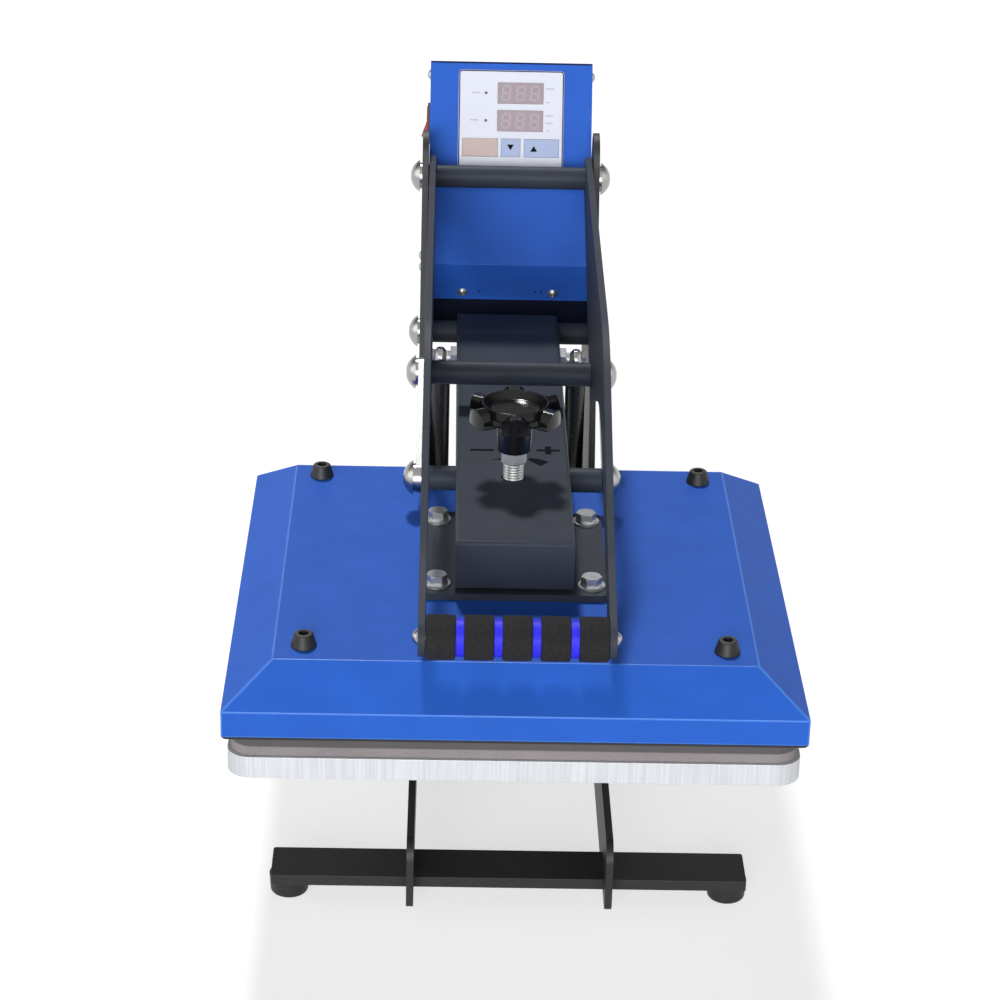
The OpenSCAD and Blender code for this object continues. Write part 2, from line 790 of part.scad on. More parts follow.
module switch_rocker() place() on_front() color("#c8281e")
    translate([-box_half + rocker_pin_d, switch_y, switch_z]) rotate([0, rocker_tilt, 0]) {
        rotate([90, 0, 0]) linear_extrude(rocker_w, center = true) polygon([
            [-rocker_pin_d - 5, rocker_h / 2], [-rocker_pin_d - 3, 0], [-rocker_pin_d - 5, -rocker_h / 2],
            [-1, -rocker_h / 2], [4, -4], [4, 4], [-1, rocker_h / 2]
        ]);
        rotate([90, 0, 0]) cylinder(d = rocker_pin_d, h = rocker_pin_len, center = true);
    }

// Press arm

arm_length = hinge_y + arm_tail + arm_front;

// Channel with folded top edges, open underneath and at the back, its rear end rounded over the hinge
module arm_block(inset, bend) {
    w = arm_half - inset;
    top = arm_top - inset;
    low = inset > 0 ? arm_z - 1 : arm_z;
    front = -arm_front + inset;
    back = hinge_y + arm_tail + (inset > 0 ? 1 : 0);
    back_r = inset > 0 ? 0 : arm_tail;
    intersection() {
        translate([0, back, 0]) rotate([90, 0, 0]) linear_extrude(arm_length + 2)
            polygon(rounded([[-w, low, 0], [w, low, 0], [w, top, bend], [-w, top, bend]]));
        upright(-w, 2 * w)
            polygon(rounded([[front, low, 0], [back, low, 0], [back, top, back_r], [front, top, bend]]));
    }
}

module press_arm() place() color("#30363e") difference() {
    arm_block(0, arm_bend_r);
    arm_block(arm_t, max(arm_bend_r - arm_t, 0.5));
    along_x(hinge, rod_d + 2 * run_clear, -arm_half - 1, arm_half + 1);
    along_x(toggle, rod_d + 2 * fit_clear, -arm_half - 1, arm_half + 1);
    pair() along_x(strut_top, pin_d + 2 * fit_clear, arm_half - arm_t - 1, arm_half + 1);
    translate([0, screw_y, arm_top - arm_t - 1]) cylinder(d = screw_d + 2, h = arm_t + 2);
}

module arm_hinge_tube() place() color("#5a5f66") difference() {
    along_x(hinge, hinge_tube_d, -arm_half + arm_t, arm_half - arm_t);
    along_x(hinge, rod_d + 2 * run_clear, -arm_half, arm_half);
}

module pressure_nut() place() color("#8a8d90")
    translate([0, screw_y, arm_top - arm_t - pressure_nut_t]) difference() {
        linear_extrude(pressure_nut_t) hexagon(pressure_nut_af);
        translate([0, 0, -1]) cylinder(d = screw_d + 2 * run_clear, h = pressure_nut_t + 2);
    }

toggle_end = link_in - 2 * air;

module toggle_rod() place() color("#2b2f34") along_x(toggle, rod_d, -toggle_end, toggle_end);

fork_hex_af = 16;
fork_hex_t = 5;

module strut_arm_studs() place() color("silver") pair() {
    translate([arm_half, strut_top[0], strut_top[1]]) rotate([0, 90, 0])
        linear_extrude(fork_hex_t) hexagon(fork_hex_af);
    along_x(strut_top, pin_d, arm_half - arm_t, strut_inner_x);
}

// Platen carriage

module at_bolts() corners(bolt_pitch / 2, bolt_pitch / 2) children();

module mounting_plate() place() color("#30363e") difference() {
    translate([0, 0, cover_top]) linear_extrude(plate_t) rounded_rect(plate_w, plate_d, 6);
    translate([0, 0, cover_top - 1]) at_bolts() cylinder(d = bolt_d + 2 * fit_clear, h = plate_t + 2);
}

block_z = plate_top;
journal_z = block_z + 2;
block_half = arm_half - arm_t - air;
block_y = min(screw_y - block_d / 2, toggle_y - rod_d / 2 - block_d - 2 * air);

module guide_block() place() color("#6d7278") difference() {
    translate([-block_half, block_y, block_z]) cube([2 * block_half, block_d, block_h]);
    translate([0, screw_y, journal_z]) cylinder(d = journal_d + 2 * run_clear, h = block_h);
}

bolt_head_h = 6.5;
bolt_washer_t = 1.6;
bolt_sink = heat_platen_t * 0.6;

module mounting_bolts() place() color("#c9cbce") translate([0, 0, plate_top + bolt_washer_t]) at_bolts() {
    cylinder(d1 = bolt_washer_d - 3, d2 = bolt_d * 1.6, h = 1.8);
    linear_extrude(bolt_head_h - 0.5) hexagon(bolt_d * 1.6);
    intersection() {
        linear_extrude(bolt_head_h) hexagon(bolt_d * 1.6);
        cylinder(d = bolt_d * 1.6, h = bolt_head_h);
    }
    depth = plate_top + bolt_washer_t - heat_top + bolt_sink;
    translate([0, 0, -depth]) cylinder(d = bolt_d, h = depth + 1);
}

module mounting_washers() place() color("#c9cbce") translate([0, 0, plate_top]) at_bolts()
    ring(bolt_washer_d, bolt_d + 2 * fit_clear, bolt_washer_t);

sleeve_d = bolt_d * 2;

module spacer_sleeves() place() color("#9a9da1") translate([0, 0, heat_top]) at_bolts()
    ring(sleeve_d, bolt_d + 2 * fit_clear, cover_top - cover_t - heat_top);

// Section of the cover at a depth inside its sheet, closed at level low
function cover_profile(inset, low) =
    let (
        a = atan2(bevel_h, bevel_w),
        wide = cover_size / 2 - inset,
        bend = shoulder_z + inset * (tan(a) - 1 / cos(a)),
        narrow = cover_size / 2 - (bevel_h - inset + inset / cos(a)) / tan(a),
        top = cover_top - inset
    )
    [[-wide, low], [-wide, bend], [-narrow, top], [narrow, top], [wide, bend], [wide, low]];

module cover_form(inset, low) intersection() {
    rotate([90, 0, 0]) linear_extrude(cover_size, center = true) polygon(cover_profile(inset, low));
    rotate([90, 0, 90]) linear_extrude(cover_size, center = true) polygon(cover_profile(inset, low));
}

grommet_d = grommet_bore_d + 4;
grommet_z = lip_z + lip_h * 0.6;

module platen_cover() place() color("#2058b8") difference() {
    cover_form(0, lip_z);
    cover_form(cover_t, lip_z - 1);
    translate([0, 0, cover_top - cover_t - 1]) at_bolts()
        cylinder(d = bolt_d + 2 * fit_clear, h = cover_t + 2);
    along_y(0, grommet_z, grommet_d + 2 * fit_clear, cover_size / 2 - cover_t - 1, cover_size / 2 + 1);
}

leg_end = heater_leg + 20;
terminal_y = leg_end - heater_d / 2;
terminal_room = 4;
terminal_h = insulation_t + 4;

module insulation_sheet() place() color("#d8cfae") translate([0, 0, heat_top]) difference() {
    linear_extrude(insulation_t) rounded_rect(top_size - 2 * bevel_w, top_size - 2 * bevel_w, 10);
    translate([0, 0, -1]) at_bolts() cylinder(d = sleeve_d + 2 * air, h = insulation_t + 2);
    translate([0, 0, -1]) pair() translate([heater_outer_x, terminal_y, 0])
        cylinder(d = terminal_d + 2 * terminal_room, h = insulation_t + 2);
}

// Tubular heater: four legs and three bends, with two upright terminals at the back
module heater_run(d) {
    bend_r = (heater_outer_x - heater_inner_x) / 2;
    bend_x = (heater_outer_x + heater_inner_x) / 2;
    pair() {
        along_y(heater_inner_x, 0, d, -heater_leg, heater_leg);
        along_y(heater_outer_x, 0, d, -heater_leg, leg_end);
        translate([bend_x, -heater_leg, 0]) rotate([0, 0, 180])
            rotate_extrude(angle = 180) translate([bend_r, 0]) circle(d = d);
    }
    translate([0, heater_leg, 0]) rotate_extrude(angle = 180) translate([heater_inner_x, 0]) circle(d = d);
}

heater_z = heat_top - heater_d / 2 - 1;

module heating_element() place() color("#7a6a5a") translate([0, 0, heater_z]) {
    heater_run(heater_d);
    pair() translate([heater_outer_x, terminal_y, 0])
        cylinder(d = terminal_d, h = heater_d / 2 + 1 + terminal_h);
}

module heat_platen() place() color("#4a4c50") difference() {
    translate([0, 0, heat_z]) linear_extrude(heat_platen_t)
        rounded_rect(top_size, top_size, platen_corner_r);
    translate([0, 0, heat_top - bolt_sink - 1]) at_bolts()
        cylinder(d = bolt_d + 2 * fit_clear, h = bolt_sink + 2);
    translate([0, 0, heater_z]) {
        heater_run(heater_d + 2 * fit_clear);
        pair() translate([heater_outer_x, terminal_y, 0])
            cylinder(d = heater_d + 2, h = heater_d + 2);
    }
}

module rubber_bumpers() place() color("#141516") translate([0, 0, cover_top])
    corners(bumper_xy, bumper_xy) difference() {
        rotate_extrude() polygon(rounded([
            [0, 0, 0], [bumper_d / 2, 0, 0.6], [bumper_top_d / 2, bumper_h, 1.4], [0, bumper_h, 0]
        ]));
        translate([0, 0, bumper_h / 2]) cylinder(d = bumper_recess_d, h = bumper_h);
    }

module heater_grommet() place() color("#141516")
    translate([0, cover_size / 2, grommet_z]) rotate([-90, 0, 0]) difference() {
        union() {
            cylinder(d = grommet_d + 4, h = 2);
            translate([0, 0, -cover_t - 1]) cylinder(d = grommet_d, h = cover_t + 2);
            translate([0, 0, -cover_t - 1.2]) cylinder(d = grommet_d + 3, h = 1.2);
        }
        translate([0, 0, -cover_t - 2]) cylinder(d = grommet_bore_d, h = cover_t + 5);
    }

// Pressure screw and handwheel

thread_z = block_z + block_h + air;
nut_z = arm_top + screw_show;
hub_z = nut_z + lock_nut_t;
lobe_z = hub_z + hub_h;
thread_depth = 0.6;

// Grooved stud: one groove for each turn of thread
module pressure_screw() place() color("#b9bbbd") translate([0, screw_y, 0]) {
    turns = floor((nut_z - thread_z) / screw_pitch);
    r = screw_d / 2;
    rotate_extrude() polygon(concat(
        [[0, thread_z], [r - thread_depth, thread_z]],
        [for (i = [0:turns - 1], k = [0, 1])
            [r - (1 - k) * thread_depth, thread_z + (i + (k + 1) / 2) * screw_pitch]],
        [[r - thread_depth, nut_z], [r - thread_depth, lobe_z], [0, lobe_z]]
    ));
    translate([0, 0, journal_z + fit_clear]) cylinder(d = journal_d, h = thread_z - journal_z);
}

module lock_nut() place() color("#cfd1d3") translate([0, screw_y, nut_z]) difference() {
    intersection() {
        rotate(30) linear_extrude(lock_nut_t) hexagon(lock_nut_af);
        cylinder(d1 = lock_nut_af * 1.13, d2 = lock_nut_af * 1.2, h = lock_nut_t);
    }
    translate([0, 0, -1]) cylinder(r = screw_d / 2 - thread_depth + fit_clear, h = lock_nut_t + 2);
}

lobe_w = min(wheel_d * 0.31, 1.9 * wheel_h);
lobe_arch = lobe_w / 2 - 0.2;
rim_r = wheel_d * 0.365;
bowl_r = wheel_d * 0.41;
dish_r = wheel_d * 0.25;
dish_depth = wheel_h * 0.38;

// Dished star wheel: a hub, a bowl and arched lobes, one of them facing the front
module handwheel() place() color("#121315") translate([0, screw_y, hub_z]) difference() {
    top = hub_h + wheel_h;
    lobe_top = wheel_h - 0.4;
    union() {
        rotate_extrude() polygon(rounded([
            [0, 0, 0], [hub_d / 2 - 1, 0, 1.5], [hub_d / 2, hub_h, 2], [bowl_r, hub_h + 2, 2],
            [bowl_r, top - 5, 3], [rim_r, top, 1], [0, top, 0]
        ]));
        intersection() {
            for (i = [0:wheel_lobes - 1]) rotate(i * 360 / wheel_lobes - 90) translate([dish_r, 0, hub_h])
                rotate([90, 0, 90]) linear_extrude(wheel_d / 2) polygon(rounded([
                    [-lobe_w / 2, 0, 0.8], [lobe_w / 2, 0, 0.8],
                    [lobe_w / 2, lobe_top, lobe_arch], [-lobe_w / 2, lobe_top, lobe_arch]
                ]));
            translate([0, 0, hub_h - 1]) cylinder(d = wheel_d, h = wheel_h + 2);
        }
    }
    rotate_extrude() polygon(rounded([
        [0, top - dish_depth, 0], [dish_r, top - dish_depth, 4], [rim_r - 0.2, top + 1, 0], [0, top + 1, 0]
    ]));
    translate([0, 0, -1]) cylinder(r = screw_d / 2 - thread_depth + fit_clear, h = hub_h + 1 + fit_clear);
}

// Lever

module lever_outline() {
    brow = knee + [-142, 85.5];
    bend = grip + [51, 36];
    arch = knee + [-139, 35];
    polygon(rounded([
        with_radius(tangent(arch, grip, lever_end_r, -1), 0),
        with_radius(arch, 100),
        with_radius(tangent(arch, knee, lever_knee_r, 1), 0),
        with_radius(tangent(pivot, knee, lever_knee_r, -1), 0),
        with_radius(tangent(knee, pivot, lever_pivot_r, 1), 0),
        with_radius(tangent(brow, pivot, lever_pivot_r, -1), 0),
        with_radius(brow, 140),
        with_radius(bend, 120),
        with_radius(tangent(bend, grip, lever_end_r, 1), 0)
    ]));
    translate(grip) circle(lever_end_r);
    translate(knee) circle(lever_knee_r);
    translate(pivot) circle(lever_pivot_r);
}

grip_screw_d = 6;
grip_screw_depth = 17;
grip_head_d = 11;
grip_head_h = 4;
grip_socket_af = 4;

module lever_plate() color("#30363e") upright(lever_in, lever_t) difference() {
    lever_outline();
    translate(pivot) circle(d = rod_d + 2 * run_clear);
    translate(knee) circle(d = pin_d + 2 * fit_clear);
    translate(grip) circle(d = grip_screw_d + 2 * fit_clear);
}

module lever_plate_right() place() lever_plate();

module lever_plate_left() place() mirror([1, 0, 0]) lever_plate();

module lever_rod() place() color("#2b2f34") cross_rod(knee, lever_in);

// Pivot bolts at the knee, with a washer between each lever plate and its link
module lever_bolts() place() color("#c9cbce") pair() {
    pin_bolt(knee, link_out + air / 3, link_out + air / 3 - lever_in + rod_bolt_depth - 1);
    translate([lever_out, knee[0], knee[1]]) rotate([0, 90, 0])
        ring(2 * link_r, pin_d + 2 * fit_clear, washer_t);
}

module grip_core() place() color("#3a3d42") difference() {
    along_x(grip, core_d, -lever_in, lever_in);
    pair() along_x(grip, grip_screw_d + 2 * fit_clear, lever_in - grip_screw_depth - 1, lever_in + 1);
}

segment_w = (lever_gap_w - 2 * fit_clear - (grip_segments - 1) * ring_w) / grip_segments;

// Sleeves along the grip's core, all of one width
module grip_sleeves(first, step, count, w, d) for (i = [0:count - 1])
    translate([first + i * step, grip[0], grip[1]]) rotate([0, 90, 0]) ring(d, core_d + 2 * fit_clear, w);

module foam_grip() place() color("#1b1b1c")
    grip_sleeves(-lever_in + fit_clear, segment_w + ring_w, grip_segments, segment_w, grip_d);

module grip_rings() place() color("#3038e0") grip_sleeves(
    -lever_in + fit_clear + segment_w, segment_w + ring_w, grip_segments - 1, ring_w, ring_d);

module grip_screws() place() color("#c9cbce") pair() {
    translate([lever_out, grip[0], grip[1]]) rotate([0, 90, 0])
        socket_head(grip_head_d, grip_head_h, grip_socket_af);
    along_x(grip, grip_screw_d, lever_in - grip_screw_depth, lever_out + 1);
}

// Toggle links

module toggle_links() place() color("#d5d8dc") pair() upright(link_in, link_t) difference() {
    union() {
        across = (link_r - graze) * turn(unit(knee - toggle), 90);
        polygon([knee + across, toggle + across, toggle - across, knee - across]);
        for (p = [knee, toggle]) translate(p) circle(link_r);
    }
    translate(knee) circle(d = pin_d + 2 * run_clear);
    translate(toggle) circle(d = pin_d + 2 * fit_clear);
}

// Bolts of the links' lower ends, flush with the faces that meet the toggle rod
module link_bolts() place() color("#c9cbce") pair() pin_bolt(toggle, link_out, link_t);

// Gas struts

strut_gland = 10;
strut_start = strut_eye_d / 2 + 3;
piston_d = strut_d - 3;
piston_at = strut_start + 22;
piston_t = 8;
strut_wall = 4;
rod_nut_af = 11;
rod_nut_t = 2.5;

// Places children on the right strut, z along its axis from the lower eye
module on_strut() translate([strut_x, strut_foot[0], strut_foot[1]]) rotate([-strut_lean, 0, 0]) children();

module strut_eye(z, bore) translate([-strut_eye_w / 2, 0, z]) rotate([0, 90, 0]) difference() {
    cylinder(d = strut_eye_d, h = strut_eye_w);
    translate([0, 0, -1]) cylinder(d = bore, h = strut_eye_w + 2);
}

module strut_cylinders() place() color("#1a1b1d") pair() on_strut() {
    strut_eye(0, strut_rod_d + 2 * run_clear);
    difference() {
        union() {
            translate([0, 0, strut_start]) cylinder(d = strut_d, h = strut_len);
            translate([0, 0, strut_eye_d / 2 - 1])
                cylinder(d = strut_rod_d, h = strut_start - strut_eye_d / 2 + 2);
        }
        translate([0, 0, strut_start + strut_wall])
            cylinder(d = piston_d + 2 * run_clear, h = strut_len - strut_wall - strut_gland);
        translate([0, 0, strut_start + strut_wall])
            cylinder(d = strut_rod_d + 2 * run_clear, h = strut_len);
    }
}

module strut_rods() place() color("#d5d8dc") pair() on_strut() {
    translate([0, 0, piston_at])
        cylinder(d = strut_rod_d, h = strut_reach - piston_at - strut_eye_d / 2 + 1);
    translate([0, 0, piston_at]) cylinder(d = piston_d, h = piston_t);
    translate([-strut_eye_w / 2, 0, strut_reach]) rotate([0, 90, 0]) rotate_extrude() polygon(rounded([
        [0, 0, 0], [strut_eye_d * 0.3, 0, 0.5], [strut_eye_d / 2, strut_eye_w * 0.3, 2],
        [strut_eye_d / 2, strut_eye_w * 0.7, 2], [strut_eye_d * 0.3, strut_eye_w, 0.5], [0, strut_eye_w, 0]
    ]));
    translate([strut_eye_w / 2 - 0.5, 0, strut_reach]) rotate([0, 90, 0])
        linear_extrude(rod_nut_t + 0.5) hexagon(rod_nut_af);
}

base_side_left();
base_side_right();
front_crossbar();
rear_crossbar();
rubber_feet();
foot_screws();
bed_bars();
platen_screws();
lower_platen();
silicone_pad();
lever_pivot_rod();
arm_hinge_rod();
frame_bolts();
strut_base_studs();
control_box();
box_back_cover();
box_screws();
control_panel();
display_windows();
status_leds();
controller_board();
power_relay();
switch_housing();
cord_gland();
set_key();
down_key();
up_key();
switch_rocker();
press_arm();
arm_hinge_tube();
pressure_nut();
toggle_rod();
strut_arm_studs();
mounting_plate();
guide_block();
mounting_bolts();
mounting_washers();
spacer_sleeves();
platen_cover();
insulation_sheet();
heat_platen();
heating_element();
rubber_bumpers();
heater_grommet();
pressure_screw();
lock_nut();
handwheel();
lever_plate_left();
lever_plate_right();
lever_rod();
lever_bolts();
grip_core();
foam_grip();
grip_rings();
grip_screws();
toggle_links();
link_bolts();
strut_cylinders();
strut_rods();
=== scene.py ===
import json
import math

import bmesh
import bpy
from mathutils import Matrix, Vector


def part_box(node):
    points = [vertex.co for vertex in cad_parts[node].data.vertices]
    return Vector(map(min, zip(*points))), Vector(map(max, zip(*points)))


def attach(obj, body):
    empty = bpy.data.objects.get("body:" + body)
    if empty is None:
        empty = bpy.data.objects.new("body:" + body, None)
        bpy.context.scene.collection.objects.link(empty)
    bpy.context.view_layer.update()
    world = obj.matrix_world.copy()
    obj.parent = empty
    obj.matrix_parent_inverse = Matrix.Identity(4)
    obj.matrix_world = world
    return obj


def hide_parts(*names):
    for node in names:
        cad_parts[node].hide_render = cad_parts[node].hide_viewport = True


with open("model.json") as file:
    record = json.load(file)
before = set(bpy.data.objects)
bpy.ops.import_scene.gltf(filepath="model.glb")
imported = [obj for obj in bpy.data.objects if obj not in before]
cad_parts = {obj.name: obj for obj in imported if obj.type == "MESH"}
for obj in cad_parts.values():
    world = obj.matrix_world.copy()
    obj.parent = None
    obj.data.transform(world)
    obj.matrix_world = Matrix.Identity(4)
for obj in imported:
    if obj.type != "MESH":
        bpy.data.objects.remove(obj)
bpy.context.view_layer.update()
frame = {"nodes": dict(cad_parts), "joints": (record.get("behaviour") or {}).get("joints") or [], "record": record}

MM = 0.001
joints = {joint["name"]: joint for joint in frame["joints"]}
nodes = frame["nodes"]

# Sizes of the part that the looks take up again, in millimetres
GRIP_SEGMENTS = 5
RING_WIDTH = 5.8
CORE_CLEAR = 0.2
PLATEN_CORNER = 16.0
BOX_BEHIND = 23.0
PANEL_THICK = 1.5
PANEL_TOP = 89.2
PANEL_SIZE = (85.6, 87.0)
PANEL_CORNER = 3.0
WINDOW_SINK = 0.2
WINDOW_X = 7.5
WINDOW_DROPS = (18.6, 41.0)
KEY_PROUD = 0.5

# Camera of the photograph: place in metres, angles in radians, focal length in pixels of a 1000 pixel frame
CAMERA_AT = Vector((-0.0503, -2.09944, 1.11540))
CAMERA_YAW = 0.0207627
CAMERA_PITCH = 0.4194281
CAMERA_ROLL = -0.0253196
FOCAL_PIXELS = 3023.33
FRAME_PIXELS = 1000
SENSOR = 36.0


def make_camera():
    """Camera at the photograph's viewpoint."""
    sy, cy = math.sin(CAMERA_YAW), math.cos(CAMERA_YAW)
    sp, cp = math.sin(CAMERA_PITCH), math.cos(CAMERA_PITCH)
    sr, cr = math.sin(CAMERA_ROLL), math.cos(CAMERA_ROLL)
    ahead = Vector((sy * cp, cy * cp, -sp))
    level = Vector((cy, -sy, 0))
    down = ahead.cross(level)
    right = cr * level + sr * down
    below = -sr * level + cr * down
    data = bpy.data.cameras.new("camera")
    data.sensor_width = SENSOR
    data.lens = FOCAL_PIXELS / FRAME_PIXELS * SENSOR
    camera = bpy.data.objects.new("camera", data)
    turn = Matrix((right, -below, -ahead)).transposed()
    camera.matrix_world = Matrix.Translation(CAMERA_AT) @ turn.to_4x4()
    bpy.context.scene.collection.objects.link(camera)
    bpy.context.scene.camera = camera


# Light and floor

# Name, azimuth, elevation and spread in degrees, and level of each lamp
LAMPS = (
    ("behind", 190, 56, 8, 0.64),
    ("front", -10, 8, 40, 1.16),
    ("left", -85, 12, 40, 0.16),
    ("right", 85, 12, 40, 0.06),
)


def far_light(name, azimuth, elevation, spread_angle, level):
    """Even light from far away; azimuth 0 is at the front, and level 1 shows a white face as white."""
    a, e = math.radians(azimuth), math.radians(elevation)
    away = Vector((math.sin(a) * math.cos(e), -math.cos(a) * math.cos(e), math.sin(e)))
    data = bpy.data.lights.new(name, "SUN")
    data.angle = math.radians(spread_angle)
    data.energy = level * math.pi
    lamp = bpy.data.objects.new(name, data)
    lamp.rotation_euler = (-away).to_track_quat("-Z", "Y").to_euler()
    bpy.context.scene.collection.objects.link(lamp)


def seen_directly(tree):
    """Factor that is 1 for rays that show the background: camera, glossy and transmission rays."""
    path = tree.nodes.new("ShaderNodeLightPath")
    first = tree.nodes.new("ShaderNodeMath")
    first.operation = "MAXIMUM"
    second = tree.nodes.new("ShaderNodeMath")
    second.operation = "MAXIMUM"
    tree.links.new(path.outputs["Is Camera Ray"], first.inputs[0])
    tree.links.new(path.outputs["Is Glossy Ray"], first.inputs[1])
    tree.links.new(first.outputs[0], second.inputs[0])
    tree.links.new(path.outputs["Is Transmission Ray"], second.inputs[1])
    return second.outputs[0]


# World: strengths, the heights in degrees between which it dims, and where behind the press it does so
AMBIENT = 0.09
BACK_WALL = 0.14
WHITE_BELOW = 8.0
DIM_ABOVE = 24.0
DIM_BEHIND = (-0.1, 0.5)

# Floor: sizes in metres
FLOOR_SIZE = 60.0
FLOOR_DROP = 0.0002
FLOOR_COLOUR = 0.5
FLOOR_ROUGHNESS = 0.9
FLOOR_GLOW = 0.66


def make_world():
    """White background that dims high up behind the press, with a softer ambient light."""
    world = bpy.data.worlds.new("studio")
    world.use_nodes = True
    bpy.context.scene.world = world
    tree = world.node_tree
    ambient = tree.nodes["Background"]
    ambient.inputs["Color"].default_value = (1, 1, 1, 1)
    ambient.inputs["Strength"].default_value = AMBIENT
    white = tree.nodes.new("ShaderNodeBackground")
    white.inputs["Color"].default_value = (1, 1, 1, 1)
    direction = tree.nodes.new("ShaderNodeTexCoord")
    parts = tree.nodes.new("ShaderNodeSeparateXYZ")
    tree.links.new(direction.outputs["Generated"], parts.inputs[0])
    low, high = math.sin(math.radians(WHITE_BELOW)), math.sin(math.radians(DIM_ABOVE))
    rise = spread(tree, parts.outputs["Z"], 0, 1, low, high)
    behind = spread(tree, parts.outputs["Y"], 0, 1, *DIM_BEHIND)
    both = tree.nodes.new("ShaderNodeMath")
    both.operation = "MULTIPLY"
    tree.links.new(rise, both.inputs[0])
    tree.links.new(behind, both.inputs[1])
    tree.links.new(spread(tree, both.outputs[0], 1, BACK_WALL, 0, 1), white.inputs["Strength"])
    mix = tree.nodes.new("ShaderNodeMixShader")
    tree.links.new(seen_directly(tree), mix.inputs[0])
    tree.links.new(ambient.outputs[0], mix.inputs[1])
    tree.links.new(white.outputs[0], mix.inputs[2])
    tree.links.new(mix.outputs[0], tree.nodes["World Output"].inputs["Surface"])


def make_floor():
    """Pale floor that keeps the shadow of the press."""
    mesh = bpy.data.meshes.new("floor")
    half = FLOOR_SIZE / 2
    corners = [(-half, -half, 0), (half, -half, 0), (half, half, 0), (-half, half, 0)]
    mesh.from_pydata(corners, [], [(0, 1, 2, 3)])
    floor = bpy.data.objects.new("floor", mesh)
    floor.location.z = -FLOOR_DROP
    bpy.context.scene.collection.objects.link(floor)
    material = bpy.data.materials.new("floor")
    material.use_nodes = True
    tree = material.node_tree
    surface = tree.nodes["Principled BSDF"]
    surface.inputs["Base Color"].default_value = (FLOOR_COLOUR, FLOOR_COLOUR, FLOOR_COLOUR, 1)
    surface.inputs["Roughness"].default_value = FLOOR_ROUGHNESS
    surface.inputs["Specular IOR Level"].default_value = 0.0
    share = tree.nodes.new("ShaderNodeMath")
    share.operation = "MULTIPLY"
    share.inputs[1].default_value = FLOOR_GLOW
    tree.links.new(seen_directly(tree), share.inputs[0])
    surface.inputs["Emission Color"].default_value = (1, 1, 1, 1)
    tree.links.new(share.outputs[0], surface.inputs["Emission Strength"])
    mesh.materials.append(material)


# Materials

def texture_place(tree, stretch=(1, 1, 1)):
    """Coordinates of the part in metres, stretched along its axes."""
    place = tree.nodes.new("ShaderNodeTexCoord")
    mapping = tree.nodes.new("ShaderNodeMapping")
    mapping.inputs["Scale"].default_value = stretch
    tree.links.new(place.outputs["Object"], mapping.inputs["Vector"])
    return mapping.outputs[0]


# Levels of finer noise in blotches, grain and flecks
BLOTCH_DETAIL = 3.0
GRAIN_DETAIL = 2.0
FLECK_DETAIL = 1.0


def noise(tree, size, detail, stretch=(1, 1, 1)):
    """Noise whose grains are about size millimetres wide."""
    node = tree.nodes.new("ShaderNodeTexNoise")
    node.inputs["Scale"].default_value = 1 / (size * MM)
    node.inputs["Detail"].default_value = detail
    tree.links.new(texture_place(tree, stretch), node.inputs["Vector"])
    return node.outputs["Fac"]


def spread(tree, value, low, high, start=0.3, stop=0.7):
    """Value between start and stop, spread from low to high."""
    node = tree.nodes.new("ShaderNodeMapRange")
    node.inputs["From Min"].default_value = start
    node.inputs["From Max"].default_value = stop
    node.inputs["To Min"].default_value = low
    node.inputs["To Max"].default_value = high
    tree.links.new(value, node.inputs["Value"])
    return node.outputs[0]


def blend_colours(tree, factor, first, second):
    """Colour between two, each a triple or the output of another node."""
    node = tree.nodes.new("ShaderNodeMix")
    node.data_type = "RGBA"
    tree.links.new(factor, node.inputs["Factor"])
    for name, colour in (("A", first), ("B", second)):
        socket = next(s for s in node.inputs if s.name == name and s.type == "RGBA")
        if isinstance(colour, tuple):
            socket.default_value = (*colour, 1)
        else:
            tree.links.new(colour, socket)
    return next(s for s in node.outputs if s.type == "RGBA")


def raise_surface(tree, surface, height, depth):
    """Relief of depth millimetres."""
    node = tree.nodes.new("ShaderNodeBump")
    node.inputs["Distance"].default_value = depth * MM
    node.inputs["Strength"].default_value = 1.0
    tree.links.new(height, node.inputs["Height"])
    tree.links.new(node.outputs[0], surface.inputs["Normal"])


def tinted(colour, factor):
    """Colour made lighter or darker by a factor."""
    return tuple(min(1.0, part * factor) for part in colour)


def coating(name, colour, roughness, tone=0.08, blotch=30.0, grain=0.6, relief=0.02, metallic=0.0,
            gloss=0.05, stretch=(1, 1, 1), level=0.5):
    """Surface whose colour and gloss wander over blotch millimetres, with a fine grain in relief."""
    material = bpy.data.materials.new(name)
    material.use_nodes = True
    tree = material.node_tree
    surface = tree.nodes["Principled BSDF"]
    surface.inputs["Metallic"].default_value = metallic
    surface.inputs["Specular IOR Level"].default_value = level
    wander = noise(tree, blotch, BLOTCH_DETAIL, stretch)
    dark, light = tinted(colour, 1 - tone), tinted(colour, 1 + tone)
    colours = blend_colours(tree, spread(tree, wander, 0, 1), dark, light)
    tree.links.new(colours, surface.inputs["Base Color"])
    fine = noise(tree, grain, GRAIN_DETAIL, stretch)
    tree.links.new(spread(tree, fine, roughness - gloss, roughness + gloss), surface.inputs["Roughness"])
    raise_surface(tree, surface, fine, relief)
    return material, tree, surface


# Noise value above which flecks begin, how far a full share lowers it, and the width of their soft edge
FLECK_START = 0.72
FLECK_REACH = 0.3
FLECK_EDGE = 0.05


def speckled(name, colour, fleck, size, share, **values):
    """Coating with flecks of another colour; share is how much of the surface they take."""
    material, tree, surface = coating(name, colour, **values)
    base = surface.inputs["Base Color"].links[0].from_socket
    start = FLECK_START - FLECK_REACH * share
    flecks = spread(tree, noise(tree, size, FLECK_DETAIL), 0, 1, start, start + FLECK_EDGE)
    tree.links.new(blend_colours(tree, flecks, base, fleck), surface.inputs["Base Color"])
    return material


